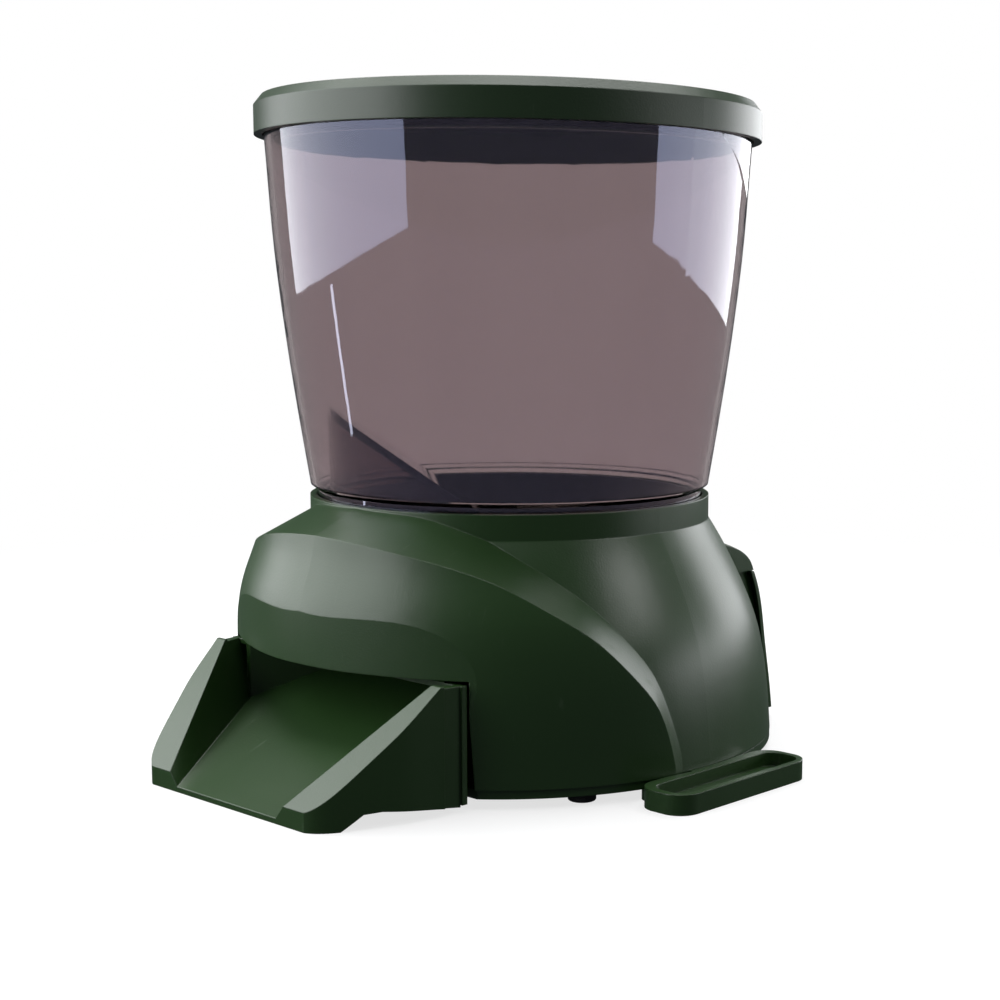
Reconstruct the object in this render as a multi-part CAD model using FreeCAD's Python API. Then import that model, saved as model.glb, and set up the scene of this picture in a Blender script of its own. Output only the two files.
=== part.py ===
import FreeCAD, Part
import math
import os
from FreeCAD import Vector

# Automatic feeder for pond fish: a clear hopper with a lid on a domed base, a front chute, side
# trays, and a rear control panel behind a hinged cover. Millimetres, +Z up, -Y the chute's side.
# The origin is on the hopper's axis at floor level.

# Driving dimensions.
TOTAL_HEIGHT = 270.0
TRAY_REACH = 135.0
BODY_FLOOR_Z = 4.0
PLATE_TOP_Z = 7.6
WALL = 2.5
COLLAR_R = 84.5
COLLAR_TOP_Z = 108.0
COLLAR_BORE_R = 81.8
LEDGE_TOP_Z = 99.0
LEDGE_BORE_R = 76.0
NECK_R = 81.3
HOPPER_WALL = 2.2
HOPPER_TOP_Z = 257.0
LID_R = 104.7
LID_RIM_Z = 254.7
PAN_R = 62.0
PAN_FLOOR_Z = 80.0
CHUTE_LIP_Y = -149.5
CHUTE_LIP_TOP_Z = 7.5
CHUTE_TOP_SLOPE = 0.888
CHUTE_TOP_Z = 49.0
CHUTE_FLOOR_SLOPE = 0.4
CHUTE_FLANGE_Y = -94.0
CHUTE_BEND_Y = -62.0
CHUTE_WALL = 2.4
CHUTE_OPENING_HALF = 71.0
CHUTE_OPENING_TOP = 49.5
DROP_HOLE = (-18.0, 18.0, -56.0, -31.0)
PAN_UNDER_Z = 77.5
HOUSING_HALF = 55.0
COVER_HALF = 58.0
COVER_TOP_Z = 69.0
HINGE_Y = 97.0
HINGE_Z = 74.0
HINGE_PIN_R = 1.5
PANEL_FACE_Y = 101.0
PANEL_BACK_Y = PANEL_FACE_Y - 2.5
BOARD_FRONT_Y = PANEL_FACE_Y - 10.4
BOARD_THICK = 1.6
PANEL_HALF = 45.5
PANEL_LOW_Z = 12.5
PANEL_HIGH_Z = 62.0
SCREEN_Z = (38.0, 56.0)
POST_X = 38.5
POST_Z = (17.0, 57.5)
BUTTON_Z = 24.0
BUTTON_PITCH = 16.0
BUTTON_R = 4.5
CELL_R = 16.65
CELL_LENGTH = 59.7
CELL_FRONT_Y = 14.7
TIP_LENGTH = 1.5
BAY_HALF = 67.5
BAY_FRONT_Y = 12.0
BAY_BACK_Y = 77.0
BAY_TOP_Z = 43.0
SHAFT_R = 3.0
BUSH_R = 5.0
GEAR_MODULE = 1.0
PINION_TEETH = 14
WHEEL_TEETH = 42
OUTPUT_TEETH = 48
MOTOR_XY = (-45.0, -12.0)
MOTOR_R = 12.0
GEARBOX_FLOOR_Z = 44.0
GEARBOX_TOP_Z = 64.0
OUTPUT_GEAR_Z = (47.5, 52.5)
WHEEL_GEAR_Z = (54.0, 59.0)
BOSS_XY = (84.0, 40.0)
FOOT_XY = (90.0, 50.0)
FOOT_R = 5.5
TRAY_SCREW_X = 124.0
TRAY_SCREW_R = 2.5
TRAY_SPAN_Y = (-43.5, 36.5)
TRAY_INNER_X = 111.2
TRAY_TOP_Z = 8.0
TRAY_TONGUE_X = 101.0
TRAY_TONGUE_Y = 14.0

# Outer outlines as (radius, height) pairs.
DOME = [(112.3, 7.6), (111.4, 20.0), (109.3, 38.0), (105.4, 55.0), (98.6, 72.0), (90.5, 88.0),
        (84.8, 97.4)]
HOOD = [(113.4, 7.6), (114.2, 20.0), (115.7, 49.5), (114.8, 63.0), (113.1, 72.0), (110.5, 80.0),
        (107.6, 88.0), (105.4, 98.6), (103.0, 112.0)]
HOPPER = [(84.2, 112.5), (87.8, 135.0), (92.1, 164.0), (95.3, 189.0), (97.8, 213.0),
          (100.1, 246.0), (100.9, 257.0)]
COVER = [(124.3, 4.4), (122.4, 18.2), (119.1, 37.4), (115.9, 56.3), (111.6, 69.0)]
HOUSING = [(121.8, 5.0), (119.9, 18.2), (116.6, 37.4), (113.3, 56.3), (109.1, 69.6)]
SHOULDER = [(111.3, 69.6), (110.8, 71.0), (109.3, 74.0), (106.0, 77.5), (100.5, 80.8), (94.8, 82.9)]

# The chute's right side seen from above, from the opening to the lip.
CHUTE_SIDE = [(69.3, -101.5), (68.3, -106.0), (67.1, -113.0), (65.3, -120.0), (62.9, -126.0),
              (60.6, -131.5), (58.2, -137.0), (55.6, -142.0), (52.3, -146.3), (47.3, -149.5)]

# The hood's chamfer: each row is (angle from the front, radius, height) on its outer edge, then on
# its inner edge where it runs into the dome or the collar.
SWOOSH = [((0, 105.5, 98.7), (0, 84.5, 107.6)),
          ((15, 105.5, 96.9), (14, 84.5, 106.9)),
          ((30, 106.0, 92.3), (27, 84.5, 104.4)),
          ((44, 109.0, 83.9), (42, 84.8, 96.5)),
          ((55, 113.0, 72.4), (54, 91.0, 86.0)),
          ((63, 115.0, 61.5), (64, 98.2, 73.2)),
          ((71, 115.6, 45.5), (72, 104.3, 58.3)),
          ((76, 115.0, 31.5), (77.5, 108.5, 42.2)),
          ((79, 114.0, 14.7), (81.3, 111.4, 20.0)),
          ((79.7, 113.4, 5.0), (82.2, 112.2, 7.0)),
          ((80.0, 113.0, -6.0), (82.6, 112.4, -6.0))]


def box(x0, x1, y0, y1, z0, z1):
    return Part.makeBox(x1 - x0, y1 - y0, z1 - z0, Vector(x0, y0, z0))


def rod(radius, start, end):
    along = Vector(*end) - Vector(*start)
    return Part.makeCylinder(radius, along.Length, Vector(*start), along)


def tube(outer, inner, start, end):
    return rod(outer, start, end).cut(rod(inner, start, end))


def revolved(points):
    """Solid of revolution about Z from a closed polygon of (radius, height) points."""
    corners = [Vector(r, 0, z) for r, z in points]
    face = Part.Face(Part.makePolygon(corners + corners[:1]))
    return face.revolve(Vector(0, 0, 0), Vector(0, 0, 1), 360)


def spun_outline(outline, tail=(), head=()):
    """Solid of revolution from the axis out to a smooth outline, low end first.
    head and tail are straight-edged (radius, height) points before and after the smooth part."""
    smooth = Part.BSplineCurve()
    smooth.interpolate([Vector(r, 0, z) for r, z in outline])
    start = [(0, (head or outline)[0][1])] + list(head) + [outline[0]]
    end = [outline[-1]] + list(tail) + [(0, (tail or outline)[-1][1])]
    edges = [smooth.toShape()]
    for points in (start, end):
        corners = [Vector(r, 0, z) for r, z in points]
        edges += [Part.makeLine(a, b) for a, b in zip(corners, corners[1:]) if (a - b).Length > 1e-6]
    edges.append(Part.makeLine(Vector(0, 0, end[-1][1]), Vector(0, 0, start[0][1])))
    wire = Part.Wire(Part.__sortEdges__(edges))
    return Part.Face(wire).revolve(Vector(0, 0, 0), Vector(0, 0, 1), 360)


def inset(outline, amount):
    return [(r - amount, z) for r, z in outline]


def plate_yz(points, x0, x1):
    """Prism along X from a polygon of (y, z) points."""
    corners = [Vector(x0, y, z) for y, z in points]
    return Part.Face(Part.makePolygon(corners + corners[:1])).extrude(Vector(x1 - x0, 0, 0))


def plate_xy(points, z0, z1):
    corners = [Vector(x, y, z0) for x, y in points]
    return Part.Face(Part.makePolygon(corners + corners[:1])).extrude(Vector(0, 0, z1 - z0))


def rounded_box(x0, x1, y0, y1, z0, z1, radius):
    """Box with its four upright edges rounded."""
    block = box(x0, x1, y0, y1, z0, z1)
    upright = [e for e in block.Edges if abs(e.Vertexes[0].Z - e.Vertexes[1].Z) > 1e-6]
    return block.makeFillet(radius, upright)


def mirrored(shape):
    return shape.mirror(Vector(0, 0, 0), Vector(1, 0, 0))


def both_sides(shape):
    return [shape, mirrored(shape)]


def screw(head_at, direction, length, shank_r=1.4, head_r=2.8, head_h=1.7):
    """Pan-head screw with a cross slot; direction runs from the head to the tip."""
    d = Vector(*direction).normalize()
    p = Vector(*head_at)
    body = Part.makeCylinder(head_r, head_h, p, d)
    body = body.fuse(Part.makeCylinder(shank_r, length, p + d * head_h, d))
    slot = Part.makeBox(head_r * 1.3, 0.7, 0.8, Vector(-head_r * 0.65, -0.35, 0))
    other = slot.copy()
    other.rotate(Vector(0, 0, 0), Vector(0, 0, 1), 90)
    cross = slot.fuse(other)
    turn = FreeCAD.Rotation(Vector(0, 0, 1), d)
    cross.Placement = FreeCAD.Placement(p, turn)
    return body.cut(cross)


def gear(teeth, z0, z1, bore, phase_deg=0.0, backlash=0.16):
    """Spur gear about the Z axis with involute flanks, one tooth centred at phase_deg."""
    pitch_r = GEAR_MODULE * teeth / 2.0
    base_r = pitch_r * math.cos(math.radians(20))
    tip_r = pitch_r + 0.9 * GEAR_MODULE
    root_r = pitch_r - 1.2 * GEAR_MODULE

    def involute(angle):
        return math.tan(angle) - angle

    half_pitch = (math.pi * GEAR_MODULE / 2 - backlash) / 2 / pitch_r
    start_r = max(base_r, root_r)
    flank = []
    for i in range(4):
        r = start_r + (tip_r - start_r) * i / 3.0
        turn = half_pitch + involute(math.radians(20)) - involute(math.acos(base_r / r))
        flank.append((r, turn))
    tooth = [(root_r, -flank[0][1])] + [(r, -a) for r, a in flank]
    tooth += [(r, a) for r, a in reversed(flank)] + [(root_r, flank[0][1])]
    if start_r - root_r < 1e-6:
        tooth = tooth[1:-1]
    corners = []
    for i in range(teeth):
        centre = math.radians(phase_deg) + 2 * math.pi * i / teeth
        corners += [Vector(r * math.cos(centre + a), r * math.sin(centre + a), z0) for r, a in tooth]
    face = Part.Face(Part.makePolygon(corners + corners[:1]))
    blank = face.extrude(Vector(0, 0, z1 - z0))
    return blank.cut(Part.makeCylinder(bore, z1 - z0 + 2, Vector(0, 0, z0 - 1)))


def place(shape, xy):
    moved = shape.copy()
    moved.translate(Vector(xy[0], xy[1], 0))
    return moved


# ---- Shapes that several pieces share ----

def dome_solid():
    return spun_outline(DOME, tail=[(COLLAR_R, 97.9), (COLLAR_R, COLLAR_TOP_Z)])


def hood_room():
    """Right half of everything below the hood's chamfer, as solids standing side by side.
    The chamfer carries on outwards at its own slope and inwards on the level."""
    def point(angle, radius, height):
        a = math.radians(angle)
        return Vector(radius * math.sin(a), -radius * math.cos(a), height)

    rows = [[], [], [], []]
    for (low_a, low_r, low_z), (high_a, high_r, high_z) in SWOOSH:
        slope = min(1.5, (high_z - low_z) / (low_r - high_r))
        rows[0].append(point(low_a, low_r + 8, low_z - 8 * slope))
        rows[1].append(point(low_a, low_r, low_z))
        rows[2].append(point(high_a, high_r, high_z))
        rows[3].append(point(high_a, 60, high_z))
    steps = [float(i) for i in range(len(SWOOSH))]
    curves = []
    for row in rows:
        curve = Part.BSplineCurve()
        curve.interpolate(Points=row, Parameters=steps)
        curves.append(curve.toShape())
    bands = [Part.makeRuledSurface(a, b) for a, b in zip(curves, curves[1:])]
    return [band.extrude(Vector(0, 0, -170)) for band in bands]


def hood_piece(outline, shift=0.0):
    """The raised drum over the front, cut to its chamfer; shift lowers the chamfer."""
    drum = spun_outline(outline)
    whole = None
    for room in hood_room():
        moved = room.copy()
        moved.translate(Vector(0, 0, -shift))
        part = drum.common(moved)
        whole = part if whole is None else whole.fuse(part)
    return whole.fuse(mirrored(whole))


def cover_band(outer_extra, inner_extra, z0, z1, half):
    """Slab between two offsets of the cover's outline, cut to a width, behind the dome."""
    outer = spun_outline(inset(COVER, -outer_extra))
    inner = spun_outline(inset(COVER, inner_extra))
    slab = outer.cut(inner)
    return slab.common(box(-half, half, 20, 200, z0, z1))


# ---- Base ----

def base_shell():
    outer = dome_solid().fuse(hood_piece(HOOD))
    hollow = spun_outline(inset(DOME, WALL)[:-1] + [(82.6, 96.0)])
    hollow_hood = hood_piece(inset(HOOD, WALL), 2.8)
    hollow_hood = hollow_hood.common(box(-200, 200, -200, 200, 0, 95.9))
    shell = outer.cut(hollow).cut(hollow_hood)
    for sx in (-1, 1):
        for sy in (-1, 1):
            boss = rod(4.5, (sx * BOSS_XY[0], sy * BOSS_XY[1], PLATE_TOP_Z),
                       (sx * BOSS_XY[0], sy * BOSS_XY[1], COLLAR_TOP_Z))
            shell = shell.fuse(boss.common(outer))
            hole = rod(1.5, (sx * BOSS_XY[0], sy * BOSS_XY[1], 0), (sx * BOSS_XY[0], sy * BOSS_XY[1], 24))
            shell = shell.cut(hole)
    shell = shell.cut(revolved([(0, LEDGE_TOP_Z), (COLLAR_BORE_R, LEDGE_TOP_Z),
                                (COLLAR_BORE_R, 140), (0, 140)]))
    shell = shell.cut(rod(LEDGE_BORE_R, (0, 0, 90), (0, 0, 140)))
    shell = shell.cut(box(-CHUTE_OPENING_HALF, CHUTE_OPENING_HALF, -200, -60, -1, CHUTE_OPENING_TOP))
    shell = shell.cut(box(-48, 48, 80, 130, 10, PANEL_HIGH_Z + 2.7))
    socket_at, socket_dir = dc_socket_place()
    shell = shell.cut(rod(6.1, socket_at - socket_dir * 20, socket_at + socket_dir * 20))
    return shell.removeSplitter()


def base_plate():
    plate = rod(112.2, (0, 0, BODY_FLOOR_Z), (0, 0, PLATE_TOP_Z))
    plate = plate.cut(box(-CHUTE_OPENING_HALF, CHUTE_OPENING_HALF, -200, -87, 0, 20))
    plate = plate.cut(rounded_box(-BAY_HALF - 3.5, BAY_HALF + 3.5, BAY_FRONT_Y - 3.5,
                                  BAY_BACK_Y + 3.5, 0, 6.6, 4))
    plate = plate.cut(box(-BAY_HALF, BAY_HALF, BAY_FRONT_Y, BAY_BACK_Y, 0, 20))
    for sx in (-1, 1):
        for sy in (-1, 1):
            x, y = sx * BOSS_XY[0], sy * BOSS_XY[1]
            plate = plate.cut(rod(1.6, (x, y, 0), (x, y, 20)))
            plate = plate.cut(rod(3.1, (x, y, 0), (x, y, 5.9)))
            plate = plate.cut(rod(2.0, (sx * FOOT_XY[0], sy * FOOT_XY[1], 0),
                                  (sx * FOOT_XY[0], sy * FOOT_XY[1], 6)))
        for y in (-TRAY_TONGUE_Y, TRAY_TONGUE_Y):
            plate = plate.cut(rod(1.5, (sx * TRAY_TONGUE_X, y, 0), (sx * TRAY_TONGUE_X, y, 20)))
    return plate


def rubber_feet():
    feet = []
    for sx in (-1, 1):
        for sy in (-1, 1):
            x, y = sx * FOOT_XY[0], sy * FOOT_XY[1]
            pad = rod(FOOT_R, (x, y, 0), (x, y, BODY_FLOOR_Z))
            pad = pad.makeFillet(0.8, [e for e in pad.Edges if e.BoundBox.ZMax < 0.1])
            feet.append(pad.fuse(rod(1.9, (x, y, 3), (x, y, 6))).removeSplitter())
    return feet


def foot_tray():
    """Right-hand tray: an open pocket beside the body, with a tongue under the base plate."""
    y0, y1 = TRAY_SPAN_Y
    block = rounded_box(TRAY_INNER_X, TRAY_REACH, y0, y1, 0, TRAY_TOP_Z, 9)
    block = block.cut(rod(112.7, (0, 0, BODY_FLOOR_Z), (0, 0, 30)))
    hood_side = rod(114.0, (0, 0, BODY_FLOOR_Z), (0, 0, 30)).common(box(90, 130, -60, -12, 0, 40))
    block = block.cut(hood_side)
    block = block.fuse(rounded_box(104.5, 122, y0 + 8.5, y1 - 2.5, 0, BODY_FLOOR_Z, 5))
    block = block.fuse(box(96, 110, -20, 20, 1, BODY_FLOOR_Z))
    block = block.cut(rounded_box(116, TRAY_REACH - 2.6, y0 + 3.2, y1 - 2.6, 2.4, 20, 6))
    for y in (-TRAY_TONGUE_Y, TRAY_TONGUE_Y):
        block = block.cut(rod(1.6, (TRAY_TONGUE_X, y, -1), (TRAY_TONGUE_X, y, 9)))
        block = block.cut(rod(3.1, (TRAY_TONGUE_X, y, -1), (TRAY_TONGUE_X, y, 2.4)))
    block = block.cut(rod(TRAY_SCREW_R, (TRAY_SCREW_X, 0, -1), (TRAY_SCREW_X, 0, 9)))
    return block.removeSplitter()


def base_screws():
    out = []
    for sx in (-1, 1):
        for sy in (-1, 1):
            out.append(screw((sx * BOSS_XY[0], sy * BOSS_XY[1], BODY_FLOOR_Z + 0.2), (0, 0, 1), 14))
        for y in (-TRAY_TONGUE_Y, TRAY_TONGUE_Y):
            out.append(screw((sx * TRAY_TONGUE_X, y, 0.7), (0, 0, 1), 4.6))
    return out


# ---- Chute ----

def chute_floor_z(y):
    return 2.2 + CHUTE_FLOOR_SLOPE * (y - CHUTE_LIP_Y)


def chute_top_z(y):
    return min(CHUTE_TOP_Z, CHUTE_LIP_TOP_Z + CHUTE_TOP_SLOPE * (y - CHUTE_LIP_Y))


def chute_inner(y):
    """Half widths of the channel at the floor and at the walls' top edge."""
    along = y - CHUTE_LIP_Y
    floor_half = 30.8 + 0.5 * along
    full_top = 35.4 + 0.602 * along
    full_height = CHUTE_LIP_TOP_Z + CHUTE_TOP_SLOPE * along - chute_floor_z(y)
    lean = (full_top - floor_half) / full_height
    return floor_half, floor_half + lean * (chute_top_z(y) - chute_floor_z(y))


def lofted(rows):
    """Straight-sided loft through rows of (y, [(x, z), ...]); each row is the right half."""
    wires = []
    for y, side in rows:
        points = [Vector(x, y, z) for x, z in side]
        points += [Vector(-x, y, z) for x, z in reversed(side)]
        wires.append(Part.makePolygon(points + points[:1]))
    return Part.makeLoft(wires, True, True)


def chute_channel():
    rows = []
    for y in (-154, -150, -145, -140, -134, -128, -120, -112, -106, -102.8, -98, CHUTE_FLANGE_Y, -91):
        floor_half, top_half = chute_inner(y)
        rows.append((y, [(top_half, 90), (top_half, chute_top_z(y)), (floor_half, chute_floor_z(y))]))
    return lofted(rows)


def chute_side_x(y):
    """Half width of the chute's outside, straight between the points of its outline."""
    for (x0, y0), (x1, y1) in zip(CHUTE_SIDE, CHUTE_SIDE[1:]):
        if y1 <= y <= y0:
            return x0 + (x1 - x0) * (y0 - y) / (y0 - y1)
    return CHUTE_SIDE[0][0]


def chute_hollow():
    """The open underside, which leaves even walls."""
    rows = []
    for y in (-138, -134, -128, -120, -112, -105, -98):
        floor_half, top_half = chute_inner(y)
        out = chute_side_x(y) - CHUTE_WALL - (1.4 if y > -104 else 0)
        floor_z = chute_floor_z(y) - CHUTE_WALL
        top_z = chute_top_z(y) - CHUTE_WALL
        rows.append((y, [(out, -1), (out, top_z), (min(out - 0.4, top_half + CHUTE_WALL), top_z),
                         (floor_half + CHUTE_WALL, floor_z)]))
    return lofted(rows)


def chute_plan():
    """Closed outline from above: curved sides, a straight lip and a straight back."""
    curve = Part.BSplineCurve()
    curve.interpolate([Vector(x, y, 0) for x, y in CHUTE_SIDE])
    right = curve.toShape()
    left = mirrored(right)
    (x0, y0), (x1, y1) = CHUTE_SIDE[0], CHUTE_SIDE[-1]
    back = Part.makeLine(Vector(x0, y0, 0), Vector(-x0, y0, 0))
    lip = Part.makeLine(Vector(x1, y1, 0), Vector(-x1, y1, 0))
    return Part.Face(Part.Wire(Part.__sortEdges__([right, lip, left, back])))


def feed_chute():
    tray = chute_plan().extrude(Vector(0, 0, CHUTE_TOP_Z))
    neck = plate_xy([(-68.1, -101.6), (68.1, -101.6), (69.8, -92), (-69.8, -92)], 1.6, CHUTE_TOP_Z - 0.8)
    tray = tray.fuse(neck)
    tray = tray.cut(plate_yz([(-170, CHUTE_LIP_TOP_Z - 20.5 * CHUTE_TOP_SLOPE), (-170, 90), (-92, 90),
                              (-92, CHUTE_LIP_TOP_Z + 57.5 * CHUTE_TOP_SLOPE)], -90, 90))
    tray = tray.cut(plate_yz([(-140.3, -1), (-140.3, 0), (-132.5, 5.6), (-126, 5.9), (-88, 1.4),
                              (-88, -1)], -90, 90))
    tray = tray.cut(chute_hollow()).cut(chute_channel())
    flange = box(-70.5, 70.5, CHUTE_FLANGE_Y, CHUTE_FLANGE_Y + 2.5, 3, 48.2)
    flange = flange.cut(flange_opening())
    chute = tray.cut(box(-100, 100, CHUTE_FLANGE_Y, 0, -10, 100)).fuse(flange)
    return chute.fuse(chute_duct()).removeSplitter()


def flange_opening():
    """Hole through the chute's flange where the duct meets the channel."""
    floor_half, top_half = chute_inner(CHUTE_FLANGE_Y)
    floor = chute_floor_z(CHUTE_FLANGE_Y)
    high = 46.0
    high_half = floor_half + (top_half - floor_half) * (high - floor) / (CHUTE_TOP_Z - floor)
    corners = [Vector(x, -120, z) for x, z in ((-floor_half, floor), (floor_half, floor),
                                               (high_half, high), (-high_half, high))]
    return Part.Face(Part.makePolygon(corners + corners[:1])).extrude(Vector(0, 60, 0))


def chute_duct():
    """Closed slide under the drop hole: the channel's floor runs on, then steepens to the hole."""
    front = CHUTE_FLANGE_Y
    x0, x1, y0, y1 = DROP_HOLE
    mouth, bend = chute_floor_z(front), chute_floor_z(CHUTE_BEND_Y)
    inner = plate_yz([(y1 + 1, PAN_UNDER_Z + 1), (y1 + 1, 70), (CHUTE_BEND_Y, bend), (front, mouth),
                      (front, 46), (y0 - 2, PAN_UNDER_Z - 0.5), (y0 - 2, PAN_UNDER_Z + 1)], -90, 90)
    outer = plate_yz([(y1 + 3, PAN_UNDER_Z - 0.2), (y1 + 3, 69), (CHUTE_BEND_Y + 1.5, bend - 2.2),
                      (front, mouth - 2.2), (front, 48.2), (y0 - 4, PAN_UNDER_Z - 0.2)], -90, 90)
    mouth_half = chute_inner(front)[0]
    plan_in = plate_xy([(x0 - 2, y1 + 1), (x1 + 2, y1 + 1), (x1 + 2, y1), (mouth_half, front),
                        (-mouth_half, front), (x0 - 2, y1)], 0, 100)
    plan_out = plate_xy([(x0 - 4, y1 + 3), (x1 + 4, y1 + 3), (x1 + 4, y1), (mouth_half + 2.5, front),
                         (-mouth_half - 2.5, front), (x0 - 4, y1)], 0, 100)
    return outer.common(plan_out).cut(inner.common(plan_in))


# ---- Hopper ----

def hopper():
    outer = spun_outline(HOPPER, head=[(NECK_R, LEDGE_TOP_Z), (NECK_R, 110.2)])
    inner = spun_outline(inset(HOPPER, HOPPER_WALL)[:-1] + [(98.7, HOPPER_TOP_Z + 2)],
                         head=[(NECK_R - HOPPER_WALL, LEDGE_TOP_Z - 1), (NECK_R - HOPPER_WALL, 110.6)])
    return outer.cut(inner)


def lid():
    shape = revolved([(0, 267), (92.6, 267), (94, 265), (94, 252), (96.4, 252), (96.4, 253),
                      (95.4, 253), (95.4, 255.5), (96.4, 255.5), (96.4, HOPPER_TOP_Z),
                      (101.4, HOPPER_TOP_Z), (101.4, LID_RIM_Z), (LID_R, LID_RIM_Z), (LID_R, 266.2),
                      (101.7, TOTAL_HEIGHT), (96.5, TOTAL_HEIGHT), (95, 269), (0, 269)])
    return shape


def lid_seal():
    return revolved([(95.5, 253.1), (97.9, 253.6), (97.9, 254.9), (95.5, 255.4)])


def hopper_funnel():
    pan = revolved([(0, PAN_UNDER_Z), (64.5, PAN_UNDER_Z), (64.5, 84), (75.6, 94), (75.6, LEDGE_TOP_Z),
                    (78.8, LEDGE_TOP_Z), (78.8, COLLAR_TOP_Z), (77.6, COLLAR_TOP_Z), (PAN_R, 92.5),
                    (PAN_R, PAN_FLOOR_Z), (0, PAN_FLOOR_Z)])
    pan = pan.cut(rod(BUSH_R, (0, 0, 70), (0, 0, 90)))
    pan = pan.cut(rounded_box(*DROP_HOLE, 70, 90, 5))
    for x, y in gearbox_posts():
        pan = pan.cut(rod(1.6, (x, y, 70), (x, y, 90)))
        pan = pan.cut(Part.makeCone(1.6, 3.1, 1.5, Vector(x, y, PAN_FLOOR_Z - 1.5)))
    return pan


def feed_baffle():
    """Hollow wedge over the drop hole; its top slopes from the front left down to the middle."""
    def wedge(margin, drop):
        room = revolved([(0, 92.2), (PAN_R - 0.6 - margin, 92.2), (PAN_R - 0.4 - margin, 93.1),
                         (76.4 - margin, 107.6), (76.4 - margin, 150), (0, 150)])
        size = 200
        slab = Part.makeBox(size, size, size, Vector(-size / 2, -size / 2, -size))
        normal = Vector(0.40, 0.57, 1.0)
        slab.Placement = FreeCAD.Placement(Vector(0, 0, 91.4 - drop),
                                           FreeCAD.Rotation(Vector(0, 0, 1), normal))
        return room.common(slab)

    inner = wedge(2.4, 2.9)
    inner = inner.fuse(inner.copy().translated(Vector(0, 0, -1.5)))
    return wedge(0, 0).cut(inner)


# ---- Feed drive ----

def wheel_xy():
    """Centre of the compound wheel, from its two centre distances."""
    first = GEAR_MODULE * (PINION_TEETH + WHEEL_TEETH) / 2.0
    second = GEAR_MODULE * (PINION_TEETH + OUTPUT_TEETH) / 2.0
    mx, my = MOTOR_XY
    span = math.hypot(mx, my)
    along = (first ** 2 - second ** 2 + span ** 2) / (2 * span)
    side = math.sqrt(first ** 2 - along ** 2)
    ux, uy = -mx / span, -my / span
    return (mx + ux * along - uy * side, my + uy * along + ux * side)


def gearbox_posts():
    return ((20.0, 24.0), (22.0, -18.0), (-54.0, 10.0))


def feed_rotor():
    hub = rod(9, (0, 0, PAN_FLOOR_Z + 0.5), (0, 0, 91))
    hub = hub.makeFillet(1.5, [e for e in hub.Edges if e.BoundBox.ZMin > 90])
    for i in range(6):
        vane = box(5, PAN_R - 0.8, -1.2, 1.2, PAN_FLOOR_Z + 0.5, 90.5)
        vane.rotate(Vector(0, 0, 0), Vector(0, 0, 1), 60 * i)
        hub = hub.fuse(vane)
    return hub.cut(rod(SHAFT_R, (0, 0, 70), (0, 0, 89))).removeSplitter()


def rotor_shaft():
    return rod(SHAFT_R, (0, 0, GEARBOX_FLOOR_Z + 0.3), (0, 0, 89))


def shaft_bushes():
    spots = ((GEARBOX_FLOOR_Z, GEARBOX_FLOOR_Z + 2.5), (GEARBOX_TOP_Z - 2, GEARBOX_TOP_Z + 1),
             (PAN_UNDER_Z, PAN_FLOOR_Z + 0.2))
    return [tube(BUSH_R, SHAFT_R + 0.05, (0, 0, a), (0, 0, b)) for a, b in spots]


def phases():
    """Tooth phases that put both gear pairs in mesh at rest."""
    wx, wy = wheel_xy()
    mx, my = MOTOR_XY
    to_wheel = math.degrees(math.atan2(wy - my, wx - mx))
    pinion_phase = to_wheel
    wheel_phase = to_wheel + 180 + 180.0 / WHEEL_TEETH
    to_output = math.degrees(math.atan2(-wy, -wx))
    small_phase = to_output
    output_phase = to_output + 180 + 180.0 / OUTPUT_TEETH
    return pinion_phase, wheel_phase, small_phase, output_phase


def output_gear():
    blank = gear(OUTPUT_TEETH, *OUTPUT_GEAR_Z, SHAFT_R, phases()[3])
    for i in range(5):
        a = math.radians(72 * i)
        spot = (14.5 * math.cos(a), 14.5 * math.sin(a))
        blank = blank.cut(rod(4.5, (*spot, 40), (*spot, 70)))
    return blank


def compound_gear():
    big = gear(WHEEL_TEETH, *WHEEL_GEAR_Z, 1.55, phases()[1])
    small = gear(PINION_TEETH, OUTPUT_GEAR_Z[0] - 0.3, WHEEL_GEAR_Z[0], 1.55, phases()[2])
    cap = tube(4, 1.55, (0, 0, WHEEL_GEAR_Z[1]), (0, 0, GEARBOX_TOP_Z - 2.4))
    return place(big.fuse(small).fuse(cap), wheel_xy())


def wheel_axle():
    return place(rod(1.5, (0, 0, GEARBOX_FLOOR_Z + 0.4), (0, 0, GEARBOX_TOP_Z - 0.4)), wheel_xy())


def motor_pinion():
    return place(gear(PINION_TEETH, WHEEL_GEAR_Z[0] - 0.6, WHEEL_GEAR_Z[1] + 0.6, 1.0, phases()[0]),
                 MOTOR_XY)


def motor_shaft():
    return place(rod(1.0, (0, 0, GEARBOX_FLOOR_Z - 8), (0, 0, WHEEL_GEAR_Z[1] + 1.2)), MOTOR_XY)


def drive_motor():
    can = rod(MOTOR_R, (0, 0, 16), (0, 0, GEARBOX_FLOOR_Z))
    can = can.makeFillet(1.2, [e for e in can.Edges if e.BoundBox.ZMax < 17])
    can = can.fuse(rod(4, (0, 0, 14), (0, 0, 17)))
    for side in (-6.5, 6.5):
        can = can.fuse(box(side - 0.3, side + 0.3, -1.2, 1.2, 11.5, 17))
    can = can.cut(rod(1.06, (0, 0, GEARBOX_FLOOR_Z - 8.1), (0, 0, GEARBOX_FLOOR_Z + 1)))
    return place(can, MOTOR_XY)


def gearbox_outline(margin, z0, z1):
    return rounded_box(-61 + margin, 29 - margin, -28.3 + margin, 36 - margin, z0, z1, 8 - margin)


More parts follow.
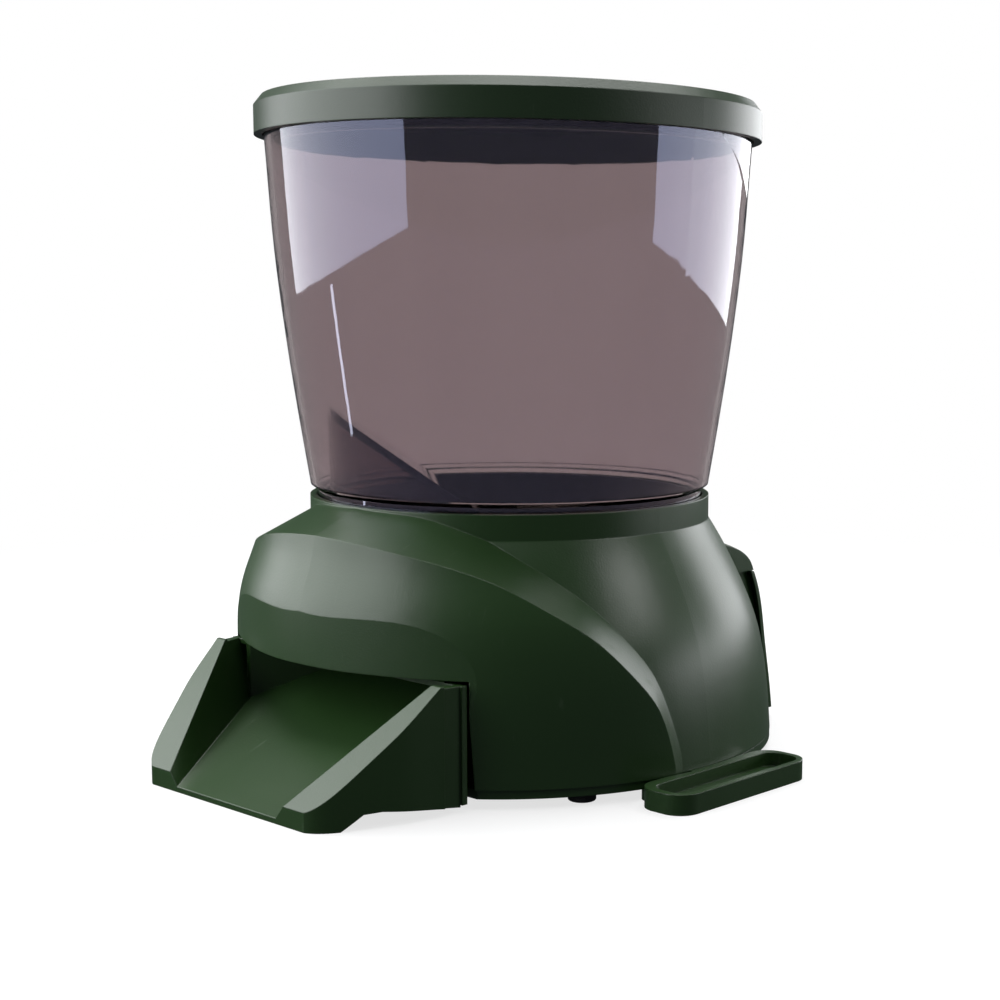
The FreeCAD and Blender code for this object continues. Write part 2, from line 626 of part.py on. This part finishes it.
def gearbox_case():
    case = gearbox_outline(0, GEARBOX_FLOOR_Z, GEARBOX_TOP_Z - 2)
    case = case.cut(gearbox_outline(2, GEARBOX_FLOOR_Z + 2, GEARBOX_TOP_Z))
    case = case.cut(rod(BUSH_R, (0, 0, 40), (0, 0, 50)))
    case = case.cut(place(rod(1.5, (0, 0, GEARBOX_FLOOR_Z + 0.4), (0, 0, 50)), wheel_xy()))
    return case.cut(place(rod(2.2, (0, 0, 40), (0, 0, 50)), MOTOR_XY))


def gearbox_lid():
    plate = gearbox_outline(0, GEARBOX_TOP_Z - 2, GEARBOX_TOP_Z)
    plate = plate.cut(rod(BUSH_R, (0, 0, 60), (0, 0, 70)))
    for x, y in gearbox_posts():
        plate = plate.fuse(rod(3.6, (x, y, GEARBOX_TOP_Z - 1), (x, y, PAN_UNDER_Z)))
        plate = plate.cut(rod(1.5, (x, y, 66), (x, y, 80)))
    return plate.cut(place(rod(1.5, (0, 0, 60), (0, 0, GEARBOX_TOP_Z - 0.4)), wheel_xy()))


def gearbox_screws():
    """Countersunk screws from the pan's floor down into the gearbox's posts."""
    out = []
    for x, y in gearbox_posts():
        head = Part.makeCone(1.45, 2.9, 1.5, Vector(x, y, PAN_FLOOR_Z - 1.5))
        out.append(head.fuse(rod(1.45, (x, y, 69), (x, y, PAN_FLOOR_Z - 1.5))).removeSplitter())
    return out


# ---- Power ----

def cell_centres():
    return [(-1.5 + i) * 2 * (CELL_R + 0.1) for i in range(4)]


def battery_cells():
    cells = []
    z = PLATE_TOP_Z + CELL_R
    for i, x in enumerate(cell_centres()):
        y0, y1 = CELL_FRONT_Y, CELL_FRONT_Y + CELL_LENGTH
        can = rod(CELL_R, (x, y0, z), (x, y1, z))
        can = can.makeFillet(1.5, [e for e in can.Edges if e.BoundBox.YLength < 0.1])
        tip = (y1 - 0.5, y1 + TIP_LENGTH) if i % 2 == 0 else (y0 - TIP_LENGTH, y0 + 0.5)
        cells.append(can.fuse(rod(4.6, (x, tip[0], z), (x, tip[1], z))).removeSplitter())
    return cells


def battery_box():
    room = box(-BAY_HALF - 2, BAY_HALF + 2, BAY_FRONT_Y - 2, BAY_BACK_Y + 2, PLATE_TOP_Z, BAY_TOP_Z)
    room = room.cut(box(-BAY_HALF, BAY_HALF, BAY_FRONT_Y, BAY_BACK_Y, 0, BAY_TOP_Z - 2))
    corner = dome_solid().cut(spun_outline(inset(DOME, WALL + 0.4)))
    return room.cut(corner)


def battery_contacts():
    """Two bridge plates, one at each end of the row of cells."""
    plates = []
    for y in (BAY_FRONT_Y, BAY_BACK_Y - 0.4):
        for x0, x1 in ((-62, -4), (4, 62)):
            plates.append(box(x0, x1, y, y + 0.4, 17, 32))
    return plates


def battery_door():
    door = rounded_box(-BAY_HALF - 3.1, BAY_HALF + 3.1, BAY_FRONT_Y - 3.1, BAY_BACK_Y + 3.1,
                       BODY_FLOOR_Z, 6.4, 3.6)
    door = door.cut(rounded_box(-9, 9, BAY_FRONT_Y + 2, BAY_FRONT_Y + 12, 0, 5.2, 3))
    return door


def dc_socket_place():
    """A point on the dome's rear left, low down, and the outward direction there."""
    out = Vector(-math.sin(math.radians(50)), math.cos(math.radians(50)), 0)
    return out * 110.8 + Vector(0, 0, 26), out


def dc_socket():
    at, out = dc_socket_place()
    barrel = tube(6.0, 3.0, at - out * 11, at + out * 1.0)
    barrel = barrel.fuse(rod(6.0, at - out * 13, at - out * 11))
    nut = rod(8.0, at - out * 6.2, at - out * 3.4).cut(rod(6.0, at - out * 7, at))
    pin = rod(1.0, at - out * 11.5, at - out * 1.0)
    return barrel.fuse(nut).fuse(pin).removeSplitter()


# ---- Rear controls ----

def cover_swing():
    """Room that the cover's top edge needs as it turns about its hinge."""
    edge = cover_band(1.5, 2.7, COVER_TOP_Z - 0.6, COVER_TOP_Z, COVER_HALF + 0.5)
    top = [f for f in edge.Faces if f.BoundBox.ZLength < 1e-3 and f.CenterOfMass.z > COVER_TOP_Z - 0.3]
    path = top[0].common(box(-70, 70, HINGE_Y + 0.5, 200, 0, 200))
    path.translate(Vector(0, 0, 0.4))
    swing = path.Faces[0].revolve(Vector(0, HINGE_Y, HINGE_Z), Vector(1, 0, 0), 105)
    for sx in (-1, 1):
        ring = tube(7.2, 4.8, (sx * 49.4, HINGE_Y, HINGE_Z), (sx * 60, HINGE_Y, HINGE_Z))
        swing = swing.fuse(ring.common(box(-70, 70, 94, 110, 60, 75)))
    return swing


def control_housing():
    """Frame behind the cover, with a shoulder above it that is flush with the cover's outside."""
    seam = COVER_TOP_Z + 0.6
    lower = spun_outline(HOUSING).common(box(-HOUSING_HALF, HOUSING_HALF, 20, 200, 5, seam))
    upper = spun_outline(SHOULDER, tail=[(80, 84.5)])
    upper = upper.common(box(-COVER_HALF, COVER_HALF, 20, 200, seam, 90))
    frame = lower.fuse(upper)
    sleeve = spun_outline(HOUSING).common(box(-47.7, 47.7, PANEL_BACK_Y - 3, 200, 10.3, PANEL_HIGH_Z + 2.3))
    base = dome_solid().fuse(rod(112.4, (0, 0, 0), (0, 0, 9)))
    frame = frame.cut(base).fuse(sleeve)
    frame = frame.cut(box(-46, 46, PANEL_BACK_Y, 200, 12, PANEL_HIGH_Z + 0.5))
    frame = frame.cut(box(-43, 43, 60, 200, 14.5, PANEL_HIGH_Z - 2))
    frame = frame.cut(cover_swing())
    for sx in (-1, 1):
        x0, x1 = sorted((sx * 37.4, sx * 43.6))
        frame = frame.cut(box(x0, x1, 92.6, 130, 60, 100))
        x0, x1 = sorted((sx * 33, sx * 48))
        frame = frame.cut(rod(HINGE_PIN_R, (x0, HINGE_Y, HINGE_Z), (x1, HINGE_Y, HINGE_Z)))
    return max(frame.Solids, key=lambda solid: solid.Volume)


def cover_hinge_pins():
    return both_sides(rod(HINGE_PIN_R, (33.2, HINGE_Y, HINGE_Z), (47.8, HINGE_Y, HINGE_Z)))


def panel_cover():
    flap = cover_band(0, 2.0, 4.4, COVER_TOP_Z, COVER_HALF)
    for sx in (-1, 1):
        x0, x1 = sorted((sx * 38.0, sx * 43.0))
        ear = rod(3.1, (x0, HINGE_Y, HINGE_Z), (x1, HINGE_Y, HINGE_Z))
        web = plate_yz([(94.6, 72.0), (99.0, 76.3), (104.6, 68.2), (106.3, 60.5), (102.0, 64.5)], x0, x1)
        web = web.common(spun_outline(inset(COVER, 0.8) + [(108.8, 74.0), (104.0, 79.5)]))
        flap = flap.fuse(ear).fuse(web)
        flap = flap.cut(rod(HINGE_PIN_R + 0.06, (x0 - 1, HINGE_Y, HINGE_Z), (x1 + 1, HINGE_Y, HINGE_Z)))
    grip = plate_yz([(122.5, 4.4), (126.5, 4.4), (126.5, 6.4), (122.5, 9.5)], -16, 16)
    return flap.fuse(grip).removeSplitter()


def button_places():
    return [(-2 + i) * BUTTON_PITCH for i in range(5)]


def board_posts():
    return [(x, z) for x in (-POST_X, POST_X) for z in POST_Z]


def control_panel():
    low, high = SCREEN_Z
    panel = box(-PANEL_HALF, PANEL_HALF, PANEL_BACK_Y, PANEL_FACE_Y, PANEL_LOW_Z, PANEL_HIGH_Z)
    for x in button_places():
        start, end = (x, PANEL_BACK_Y - 1, BUTTON_Z), (x, PANEL_FACE_Y + 1, BUTTON_Z)
        panel = panel.cut(rod(BUTTON_R + 0.3, start, end))
    panel = panel.cut(box(-26, 26, PANEL_BACK_Y - 1, PANEL_FACE_Y + 1, low, high))
    panel = panel.cut(box(-28.2, 28.2, PANEL_FACE_Y - 1.2, PANEL_FACE_Y + 1, low - 2.2, high + 2.2))
    for x, z in board_posts():
        panel = panel.fuse(tube(2.4, 1.1, (x, BOARD_FRONT_Y, z), (x, PANEL_BACK_Y, z)))
    return panel.removeSplitter()


def lcd_window():
    return box(-28, 28, PANEL_FACE_Y - 1.2, PANEL_FACE_Y, SCREEN_Z[0] - 2, SCREEN_Z[1] + 2)


def lcd_display():
    low, high = SCREEN_Z
    module = box(-29, 29, PANEL_BACK_Y - 4.2, PANEL_BACK_Y - 0.1, low - 3, high + 3)
    glass = box(-25.6, 25.6, PANEL_BACK_Y - 0.2, PANEL_FACE_Y - 1.4, low + 0.4, high - 0.4)
    return module.fuse(glass).removeSplitter()


def button(x):
    back = PANEL_BACK_Y - 1.8
    cap = rod(BUTTON_R, (x, back, BUTTON_Z), (x, PANEL_FACE_Y + 2.2, BUTTON_Z))
    cap = cap.makeFillet(0.7, [e for e in cap.Edges if e.BoundBox.YMin > PANEL_FACE_Y + 2])
    return cap.fuse(rod(BUTTON_R + 1.4, (x, back, BUTTON_Z), (x, back + 1.4, BUTTON_Z))).removeSplitter()


def circuit_board():
    back = BOARD_FRONT_Y - BOARD_THICK
    board = box(-41.5, 41.5, back, BOARD_FRONT_Y, 13.5, 60.5)
    for x, z in board_posts():
        board = board.cut(rod(1.2, (x, back - 2, z), (x, BOARD_FRONT_Y + 2, z)))
    board = board.fuse(box(-12, 8, back - 1.6, back, 38, 50))
    board = board.fuse(box(-34, -22, back - 5.5, back, 20, 34))
    return board.fuse(rod(4, (26, back - 9, 46), (26, back, 46))).removeSplitter()


def switches():
    """Tactile switches under the buttons."""
    out = []
    top = PANEL_BACK_Y - 3.1
    for x in button_places():
        body = box(x - 3, x + 3, BOARD_FRONT_Y, top - 1.4, BUTTON_Z - 3, BUTTON_Z + 3)
        out.append(body.fuse(rod(1.7, (x, top - 1.4, BUTTON_Z), (x, top, BUTTON_Z))))
    return out


def panel_screws():
    head_y = BOARD_FRONT_Y - BOARD_THICK - 1.6
    return [screw((x, head_y, z), (0, 1, 0), 6.0, shank_r=1.05, head_r=2.0, head_h=1.6)
            for x, z in board_posts()]


def battery_springs():
    """Bowed leaf springs that press on the flat end of each cell."""
    out = []
    z = PLATE_TOP_Z + CELL_R
    thick, gap, foot, half_width = 0.35, 0.05, 6.8, 5.0
    for i, x in enumerate(cell_centres()):
        at_back = i % 2 == 1
        plate_y = BAY_BACK_Y - 0.4 if at_back else BAY_FRONT_Y + 0.4
        crown_y = CELL_FRONT_Y + CELL_LENGTH + gap if at_back else CELL_FRONT_Y - gap
        side = -thick if at_back else thick
        under = [(plate_y, -foot), (plate_y, 1.6 - foot), (crown_y - side, -1.6),
                 (crown_y - side, 1.6), (plate_y, foot - 1.6), (plate_y, foot)]
        over = [(plate_y + side, foot), (plate_y + side, foot - 1.5), (crown_y, 1.5),
                (crown_y, -1.5), (plate_y + side, 1.5 - foot), (plate_y + side, -foot)]
        strip = [(y, z + along) for y, along in under + over]
        out.append(plate_yz(strip, x - half_width, x + half_width))
    return out


NODES = {
    "base_shell": base_shell,
    "base_plate": base_plate,
    "rubber_feet": rubber_feet,
    "right_foot_tray": foot_tray,
    "left_foot_tray": lambda: mirrored(foot_tray()),
    "base_screws": base_screws,
    "feed_chute": feed_chute,
    "hopper": hopper,
    "lid": lid,
    "lid_seal": lid_seal,
    "hopper_funnel": hopper_funnel,
    "feed_baffle": feed_baffle,
    "feed_rotor": feed_rotor,
    "rotor_shaft": rotor_shaft,
    "shaft_bushes": shaft_bushes,
    "output_gear": output_gear,
    "compound_gear": compound_gear,
    "wheel_axle": wheel_axle,
    "motor_pinion": motor_pinion,
    "motor_shaft": motor_shaft,
    "drive_motor": drive_motor,
    "gearbox_case": gearbox_case,
    "gearbox_lid": gearbox_lid,
    "gearbox_screws": gearbox_screws,
    "battery_cells": battery_cells,
    "battery_box": battery_box,
    "battery_contacts": battery_contacts,
    "battery_springs": battery_springs,
    "battery_door": battery_door,
    "dc_socket": dc_socket,
    "control_housing": control_housing,
    "cover_hinge_pins": cover_hinge_pins,
    "panel_cover": panel_cover,
    "control_panel": control_panel,
    "lcd_window": lcd_window,
    "lcd_display": lcd_display,
    "circuit_board": circuit_board,
    "switches": switches,
    "panel_screws": panel_screws,
}
BUTTON_NAMES = ("button_up", "button_down", "button_set", "button_mode", "button_feed")


def write(name, shape):
    if isinstance(shape, (list, tuple)):
        shape = Part.makeCompound(shape)
    shape.exportStep("parts/%s.step" % name)
    print(name, len(shape.Solids), shape.isValid(), round(shape.Volume / 1000.0, 2))


os.makedirs("parts", exist_ok=True)
for node, make in NODES.items():
    write(node, make())
for node, x_place in zip(BUTTON_NAMES, button_places()):
    write(node, button(x_place))
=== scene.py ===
import bmesh
import bpy
import math
from mathutils import Matrix, Vector


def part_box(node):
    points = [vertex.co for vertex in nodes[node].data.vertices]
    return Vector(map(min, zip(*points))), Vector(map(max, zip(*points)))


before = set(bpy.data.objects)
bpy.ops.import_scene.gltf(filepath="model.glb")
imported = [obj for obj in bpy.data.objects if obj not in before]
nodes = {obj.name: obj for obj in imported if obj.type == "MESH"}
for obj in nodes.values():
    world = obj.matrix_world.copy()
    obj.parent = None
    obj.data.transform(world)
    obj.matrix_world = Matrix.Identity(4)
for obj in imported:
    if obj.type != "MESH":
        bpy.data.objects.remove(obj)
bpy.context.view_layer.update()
scene = bpy.context.scene
collection = scene.collection

# ---- View ----
# The feeder is seen from its front right corner, a little above the middle of the hopper, with a
# long lens so that its upright sides stay nearly parallel.
CAMERA_AT = Vector((0.55573, -0.54038, 0.19381))
CAMERA_LEAN = math.radians(-0.45)
SENSOR_MM = 36.0
LENS_MM = 65.34
SHIFT_X = -0.1549
SHIFT_Y = 0.0445
view_right = Vector((0.75034, 0.66083, 0.01719))
view_up = Vector((-0.10458, 0.09299, 0.99016))
view_back = view_right.cross(view_up)
lean = Matrix.Rotation(CAMERA_LEAN, 3, view_back)
view_right, view_up = lean @ view_right, lean @ view_up
camera = bpy.data.objects.new("camera", bpy.data.cameras.new("camera"))
collection.objects.link(camera)
placing = Matrix((view_right, view_up, view_back)).transposed().to_4x4()
placing.translation = CAMERA_AT
camera.matrix_world = placing
camera.data.sensor_width = SENSOR_MM
camera.data.lens = LENS_MM
camera.data.shift_x = SHIFT_X
camera.data.shift_y = SHIFT_Y
camera.data.clip_start = 0.01
camera.data.clip_end = 50.0
scene.camera = camera
scene.view_settings.view_transform = "Standard"

# ---- Studio ----
# A white surround that only the eye and clear plastic see, a pale table that fades into it, and
# softboxes whose tall rectangles show in the glossy plastic.


class Wire:
    """One output of a node tree. Arithmetic on it adds Math nodes."""

    def __init__(self, tree, socket):
        self.tree = tree
        self.socket = socket

    def maths(self, operation, first, second):
        return self.tree.node("ShaderNodeMath", {"operation": operation}, {0: first, 1: second})

    def __add__(self, other):
        return self.maths("ADD", self, other)

    def __mul__(self, other):
        return self.maths("MULTIPLY", self, other)

    __radd__ = __add__
    __rmul__ = __mul__


class Tree:
    """A node tree with one way to add a node."""

    def __init__(self, node_tree):
        self.tree = node_tree
        self.tree.nodes.clear()

    def node(self, kind, settings=None, sockets=None, output=0):
        made = self.tree.nodes.new(kind)
        for name, value in (settings or {}).items():
            setattr(made, name, value)
        for name, value in (sockets or {}).items():
            if isinstance(value, Wire):
                self.tree.links.new(value.socket, made.inputs[name])
            else:
                made.inputs[name].default_value = value
        return Wire(self, made.outputs[output]) if made.outputs else None

    def place(self):
        """Position in metres, fixed to the piece."""
        return self.node("ShaderNodeTexCoord", output="Object")

    def axes(self, position):
        split = self.node("ShaderNodeSeparateXYZ", {}, {0: position})
        outputs = split.socket.node.outputs
        return [Wire(self, outputs[i]) for i in range(3)]

    def noise(self, scale, detail=2.0, stretch=(1, 1, 1), rough=0.5):
        """Noise from 0 to 1, with scale in bumps per metre."""
        stretched = self.node("ShaderNodeVectorMath", {"operation": "MULTIPLY"},
                              {0: self.place(), 1: stretch})
        return self.node("ShaderNodeTexNoise", {},
                         {"Vector": stretched, "Scale": scale, "Detail": detail, "Roughness": rough})

    def ramp(self, factor, low, high):
        """0 below low, 1 above high, smooth between."""
        return self.node("ShaderNodeMapRange", {"interpolation_type": "SMOOTHSTEP"},
                         {"Value": factor, "From Min": low, "From Max": high})

    def mix(self, factor, first, second):
        """Mix of two colours, each an (r, g, b) or a wire."""
        def full(colour):
            return colour if isinstance(colour, Wire) else (*colour, 1.0)

        made = self.node("ShaderNodeMix", {"data_type": "RGBA"}, {})
        node = made.socket.node
        for index, value in ((0, factor), (6, full(first)), (7, full(second))):
            if isinstance(value, Wire):
                self.tree.links.new(value.socket, node.inputs[index])
            else:
                node.inputs[index].default_value = value
        return Wire(self, node.outputs[2])


ROOM_COLOUR = (0.80, 0.88, 1.0, 1)
ROOM_STRENGTH = 0.07
TABLE_RADIUS = 6.0
FADE_FROM, FADE_TO = 0.25, 0.7
surround = bpy.data.worlds.new("surround")
surround.use_nodes = True
scene.world = surround
sky = Tree(surround.node_tree)
path = sky.node("ShaderNodeLightPath").socket.node.outputs
seen = sky.node("ShaderNodeMath", {"operation": "MAXIMUM"},
                {0: Wire(sky, path["Is Camera Ray"]), 1: Wire(sky, path["Is Transmission Ray"])})
room_glow = sky.node("ShaderNodeBackground", {}, {"Color": ROOM_COLOUR, "Strength": ROOM_STRENGTH})
white_glow = sky.node("ShaderNodeBackground", {}, {"Color": (1, 1, 1, 1), "Strength": 1.0})
glow = sky.node("ShaderNodeMixShader", {}, {0: seen, 1: room_glow, 2: white_glow})
sky.node("ShaderNodeOutputWorld", {}, {"Surface": glow})

table_mesh = bpy.data.meshes.new("table")
table_build = bmesh.new()
bmesh.ops.create_circle(table_build, cap_ends=True, segments=96, radius=TABLE_RADIUS)
table_build.to_mesh(table_mesh)
table_build.free()
table = bpy.data.objects.new("table", table_mesh)
collection.objects.link(table)
table.visible_glossy = False
table.visible_diffuse = False
table_paint = bpy.data.materials.new("table_paint")
table_paint.use_nodes = True
top = Tree(table_paint.node_tree)
across = top.node("ShaderNodeVectorMath", {"operation": "LENGTH"}, {0: top.place()}, output="Value")
matt = top.node("ShaderNodeBsdfDiffuse", {}, {"Color": (0.93, 0.93, 0.93, 1)})
bright = top.node("ShaderNodeEmission", {}, {"Color": (1, 1, 1, 1), "Strength": 1.0})
fade = 0.72 + 0.28 * top.ramp(across, FADE_FROM, FADE_TO)
lit = top.node("ShaderNodeMixShader", {}, {0: fade, 1: matt, 2: bright})
top.node("ShaderNodeOutputMaterial", {}, {"Surface": lit})
table_mesh.materials.append(table_paint)


def softbox(name, azimuth, distance, width, low, high, radiance, tint=(1, 1, 1)):
    """Upright rectangular light standing round the feeder; azimuth runs from the front to +X."""
    height = high - low
    data = bpy.data.lights.new(name, "AREA")
    data.shape = "RECTANGLE"
    data.size = width
    data.size_y = height
    data.energy = radiance * math.pi * width * height
    data.color = tint
    light = bpy.data.objects.new(name, data)
    angle = math.radians(azimuth)
    light.location = (distance * math.sin(angle), -distance * math.cos(angle), (low + high) / 2)
    aim = Vector((0, 0, light.location.z)) - light.location
    light.rotation_euler = aim.to_track_quat("-Z", "Y").to_euler()
    light.visible_camera = False
    light.visible_transmission = False
    collection.objects.link(light)
    return light


COOL = (0.97, 0.98, 1.0)
softbox("left_softbox", azimuth=-41, distance=1.0, width=1.68, low=0.078, high=1.30, radiance=4.0,
        tint=COOL)
softbox("right_softbox", azimuth=150, distance=1.0, width=1.45, low=0.080, high=0.27, radiance=4.3,
        tint=COOL)
softbox("right_tower", azimuth=180, distance=1.0, width=0.80, low=0.27, high=0.60, radiance=4.3,
        tint=COOL)
softbox("light_stand", azimuth=-41, distance=0.42, width=0.013, low=0.035, high=0.145, radiance=8.0)
softbox("right_lamp", azimuth=112, distance=1.0, width=0.34, low=0.55, high=1.00, radiance=6.5)
overhead = softbox("overhead", azimuth=-134, distance=0.40, width=1.3, low=0.55, high=1.85,
                   radiance=5.5)
overhead.rotation_euler = (0, 0, 0)  # it hangs flat, facing the table

# ---- Green mouldings ----
# The lid, base, chute, trays, housing, cover and battery door are injection-moulded ABS, dyed dark
# green through and through, with a satin skin that shows a faint orange peel.


class Finish(Tree):
    """A material built on one Principled shader."""

    def __init__(self, name):
        self.material = bpy.data.materials.new(name)
        self.material.use_nodes = True
        super().__init__(self.material.node_tree)

    def shade(self, bump=None, depth=0.0002, strength=0.5, edge=0.0, **sockets):
        names = {key.replace("_", " "): value for key, value in sockets.items()}
        for key, value in names.items():
            if isinstance(value, tuple) and len(value) == 3:
                names[key] = (*value, 1.0)
        rounded = None
        if edge:
            rounded = self.node("ShaderNodeBevel", {"samples": 6}, {"Radius": edge})
        if bump is not None:
            feed = {"Height": bump, "Distance": depth, "Strength": strength}
            if rounded is not None:
                feed["Normal"] = rounded
            names["Normal"] = self.node("ShaderNodeBump", {}, feed)
        elif rounded is not None:
            names["Normal"] = rounded
        surface = self.node("ShaderNodeBsdfPrincipled", {}, names)
        self.node("ShaderNodeOutputMaterial", {}, {"Surface": surface})
        return self.material


SCUFF_COLOUR = (0.17, 0.22, 0.15)


def green_abs(name, base, deep, roughness):
    skin = Finish(name)
    clouds = skin.noise(14, 3)
    peel = skin.noise(1300, 2)
    ripple = skin.noise(38, 2)
    scuffs = skin.ramp(skin.noise(420, 4, (1.0, 0.12, 0.12)), 0.66, 0.8)
    colour = skin.mix(clouds, deep, base)
    colour = skin.mix(scuffs * 0.14, colour, SCUFF_COLOUR)
    return skin.shade(bump=peel * 0.5 + ripple * 1.6, depth=0.00022, strength=0.35, edge=0.0006,
                      Base_Color=colour, Roughness=roughness + clouds * 0.08 + scuffs * 0.12,
                      Specular_IOR_Level=0.5, IOR=1.53)


shell_green = green_abs("shell_green", (0.020, 0.053, 0.014), (0.015, 0.041, 0.010), 0.31)
lid_green = green_abs("lid_green", (0.016, 0.036, 0.013), (0.012, 0.029, 0.010), 0.34)
chute_green = green_abs("chute_green", (0.020, 0.052, 0.013), (0.014, 0.040, 0.009), 0.28)


def dress(material, *names):
    for name in names:
        piece = nodes[name]
        piece.data.materials.clear()
        piece.data.materials.append(material)


dress(shell_green, "base_shell", "base_plate", "control_housing", "panel_cover", "battery_door")
dress(chute_green, "feed_chute", "right_foot_tray", "left_foot_tray")
dress(lid_green, "lid")

# ---- Hopper ----
# A deep drawn-in tub moulded in smoke-tinted clear styrene, polished inside and out. Faint flow
# streaks run up it from the gate at its neck.
smoke = Finish("smoke")
streaks = smoke.noise(60, 3, (1, 1, 0.06))
haze = smoke.noise(9, 2)
smoke_colour = smoke.mix(streaks, (0.43, 0.365, 0.378), (0.455, 0.39, 0.40))
# The blue Specular Tint is a painted reflection: it tints the tub's reflections as if a bluish
# surround were mirrored in its edges.
smoke_clear = smoke.shade(bump=streaks, depth=0.00015, strength=0.25, Base_Color=smoke_colour,
                          Roughness=0.015 + haze * 0.03, Transmission_Weight=1.0, IOR=1.57,
                          Specular_Tint=(0.62, 0.68, 1.0))
dress(smoke_clear, "hopper", "feed_baffle")

# ---- Funnel, gearbox and battery box ----
# Black ABS mouldings inside the base: the funnel with the rotor's pan, the gearbox under it, the
# box round the cells, the power socket and the switches' bodies.
black = Finish("black_abs")
grain = black.noise(900, 3)
dust = black.ramp(black.noise(30, 4), 0.45, 0.8)
black_abs = black.shade(bump=grain, depth=0.0002, strength=0.4, edge=0.0005,
                        Base_Color=black.mix(dust * 0.35, (0.012, 0.013, 0.014), (0.05, 0.05, 0.055)),
                        Roughness=0.42 + dust * 0.15)
dress(black_abs, "hopper_funnel", "gearbox_case", "gearbox_lid", "battery_box", "dc_socket",
      "switches")

# ---- Rotor and gears ----
# Natural acetal, milky white and slippery, with machining-fine grain.
acetal = Finish("acetal")
milk = acetal.noise(70, 3)
acetal_white = acetal.shade(bump=acetal.noise(1600, 2), depth=0.0001, strength=0.3, edge=0.0003,
                            Base_Color=acetal.mix(milk, (0.62, 0.61, 0.56), (0.74, 0.73, 0.69)),
                            Roughness=0.3 + milk * 0.15)
dress(acetal_white, "feed_rotor", "output_gear", "compound_gear")

# ---- Metal parts ----
# Ground steel shafts and pins, plated screws and contacts, a steel motor can, and sintered brass
# bushes and pinion. Fine lines run up each piece.


def metal(name, light, dark, roughness):
    skin = Finish(name)
    lines = skin.noise(900, 4, (1, 1, 0.08))
    cloud = skin.noise(60, 3)
    return skin.shade(bump=lines, depth=0.00005, strength=0.4, edge=0.0003, Metallic=1.0,
                      Base_Color=skin.mix(cloud, dark, light), Roughness=roughness + lines * 0.14)


steel = metal("steel", (0.62, 0.62, 0.63), (0.48, 0.49, 0.50), 0.22)
zinc = metal("zinc", (0.68, 0.69, 0.70), (0.50, 0.51, 0.53), 0.30)
brass = metal("brass", (0.78, 0.58, 0.26), (0.62, 0.44, 0.18), 0.28)
dress(steel, "rotor_shaft", "wheel_axle", "motor_shaft", "cover_hinge_pins", "drive_motor")
dress(zinc, "base_screws", "gearbox_screws", "panel_screws", "battery_contacts", "battery_springs")
dress(brass, "shaft_bushes", "motor_pinion")

# ---- Rubber ----
# Moulded black rubber: the four feet and the ring that seals the lid. A grey bloom clouds it and
# keeps it matt.
rubber = Finish("rubber")
bloom = rubber.noise(110, 4)
rubber_black = rubber.shade(bump=rubber.noise(1500, 3), depth=0.0002, strength=0.6,
                            Base_Color=rubber.mix(bloom, (0.010, 0.010, 0.010), (0.028, 0.028, 0.028)),
                            Roughness=0.7 + bloom * 0.15)
dress(rubber_black, "rubber_feet", "lid_seal")

# ---- Cells ----
# Four D cells in plain printed steel sleeves: grey, with a copper band at the button end. The
# lacquer over them shines a little unevenly.
cell = Finish("cell_sleeve")
BAND_WIDTH = 0.016
along = cell.axes(cell.place())[1]
button_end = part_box("battery_cells")[1].y
band = cell.ramp(along, button_end - BAND_WIDTH, button_end - BAND_WIDTH + 0.0005)
sleeve = cell.mix(cell.noise(300, 2), (0.07, 0.075, 0.085), (0.10, 0.105, 0.115))
cell_sleeve = cell.shade(Base_Color=cell.mix(band, sleeve, (0.70, 0.36, 0.16)), Metallic=0.6,
                         Roughness=0.28 + cell.noise(200, 3) * 0.15)
dress(cell_sleeve, "battery_cells")

# ---- Circuit board ----
# Glass-fibre board under green solder mask, with copper tracks that show through it as lighter,
# slightly raised lines.
board = Finish("circuit_board")
TRACK_PITCH = 0.0016
TRACK_WANDER = 0.004
across_board = board.axes(board.place())[0] + board.noise(40, 0) * TRACK_WANDER
folded = board.node("ShaderNodeMath", {"operation": "PINGPONG"}, {0: across_board, 1: TRACK_PITCH})
tracks = board.ramp(folded, 0.0011, 0.0012) * board.ramp(board.noise(70, 1), 0.45, 0.5)
board_green = board.shade(bump=tracks, depth=0.00006, strength=0.5,
                          Base_Color=board.mix(tracks, (0.010, 0.085, 0.035), (0.03, 0.20, 0.07)),
                          Roughness=0.28 + board.noise(500, 2) * 0.1)
dress(board_green, "circuit_board")

# ---- Control panel ----
# A black fascia with a fine spark texture, a clear window over the display, and grey keys.
panel = Finish("panel_black")
spark = panel.noise(2200, 2)
panel_black = panel.shade(bump=spark, depth=0.00025, strength=0.7, edge=0.0004,
                          Base_Color=panel.mix(spark, (0.011, 0.012, 0.012), (0.022, 0.023, 0.023)),
                          Roughness=0.5 + spark * 0.15)
dress(panel_black, "control_panel")
key = Finish("key_grey")
key_spark = key.noise(1900, 2)
key_grey = key.shade(bump=key_spark, depth=0.0002, strength=0.5, edge=0.0004,
                     Base_Color=key.mix(key_spark, (0.24, 0.25, 0.24), (0.31, 0.32, 0.31)),
                     Roughness=0.45 + key_spark * 0.1)
dress(key_grey, "button_up", "button_down", "button_set", "button_mode", "button_feed")
clear = Finish("clear_window")
smear = clear.noise(50, 3)
window_clear = clear.shade(Base_Color=clear.mix(smear, (0.93, 0.95, 0.94), (0.98, 0.99, 0.98)),
                           Roughness=0.02 + smear * 0.03, Transmission_Weight=1.0, IOR=1.58)
dress(window_clear, "lcd_window")
screen = Finish("screen")
screen_cloud = screen.noise(35, 2)
screen_grey = screen.shade(Base_Color=screen.mix(screen_cloud, (0.22, 0.27, 0.19), (0.27, 0.32, 0.23)),
                           Roughness=0.35 + screen.noise(900, 2) * 0.1)
dress(screen_grey, "lcd_display")
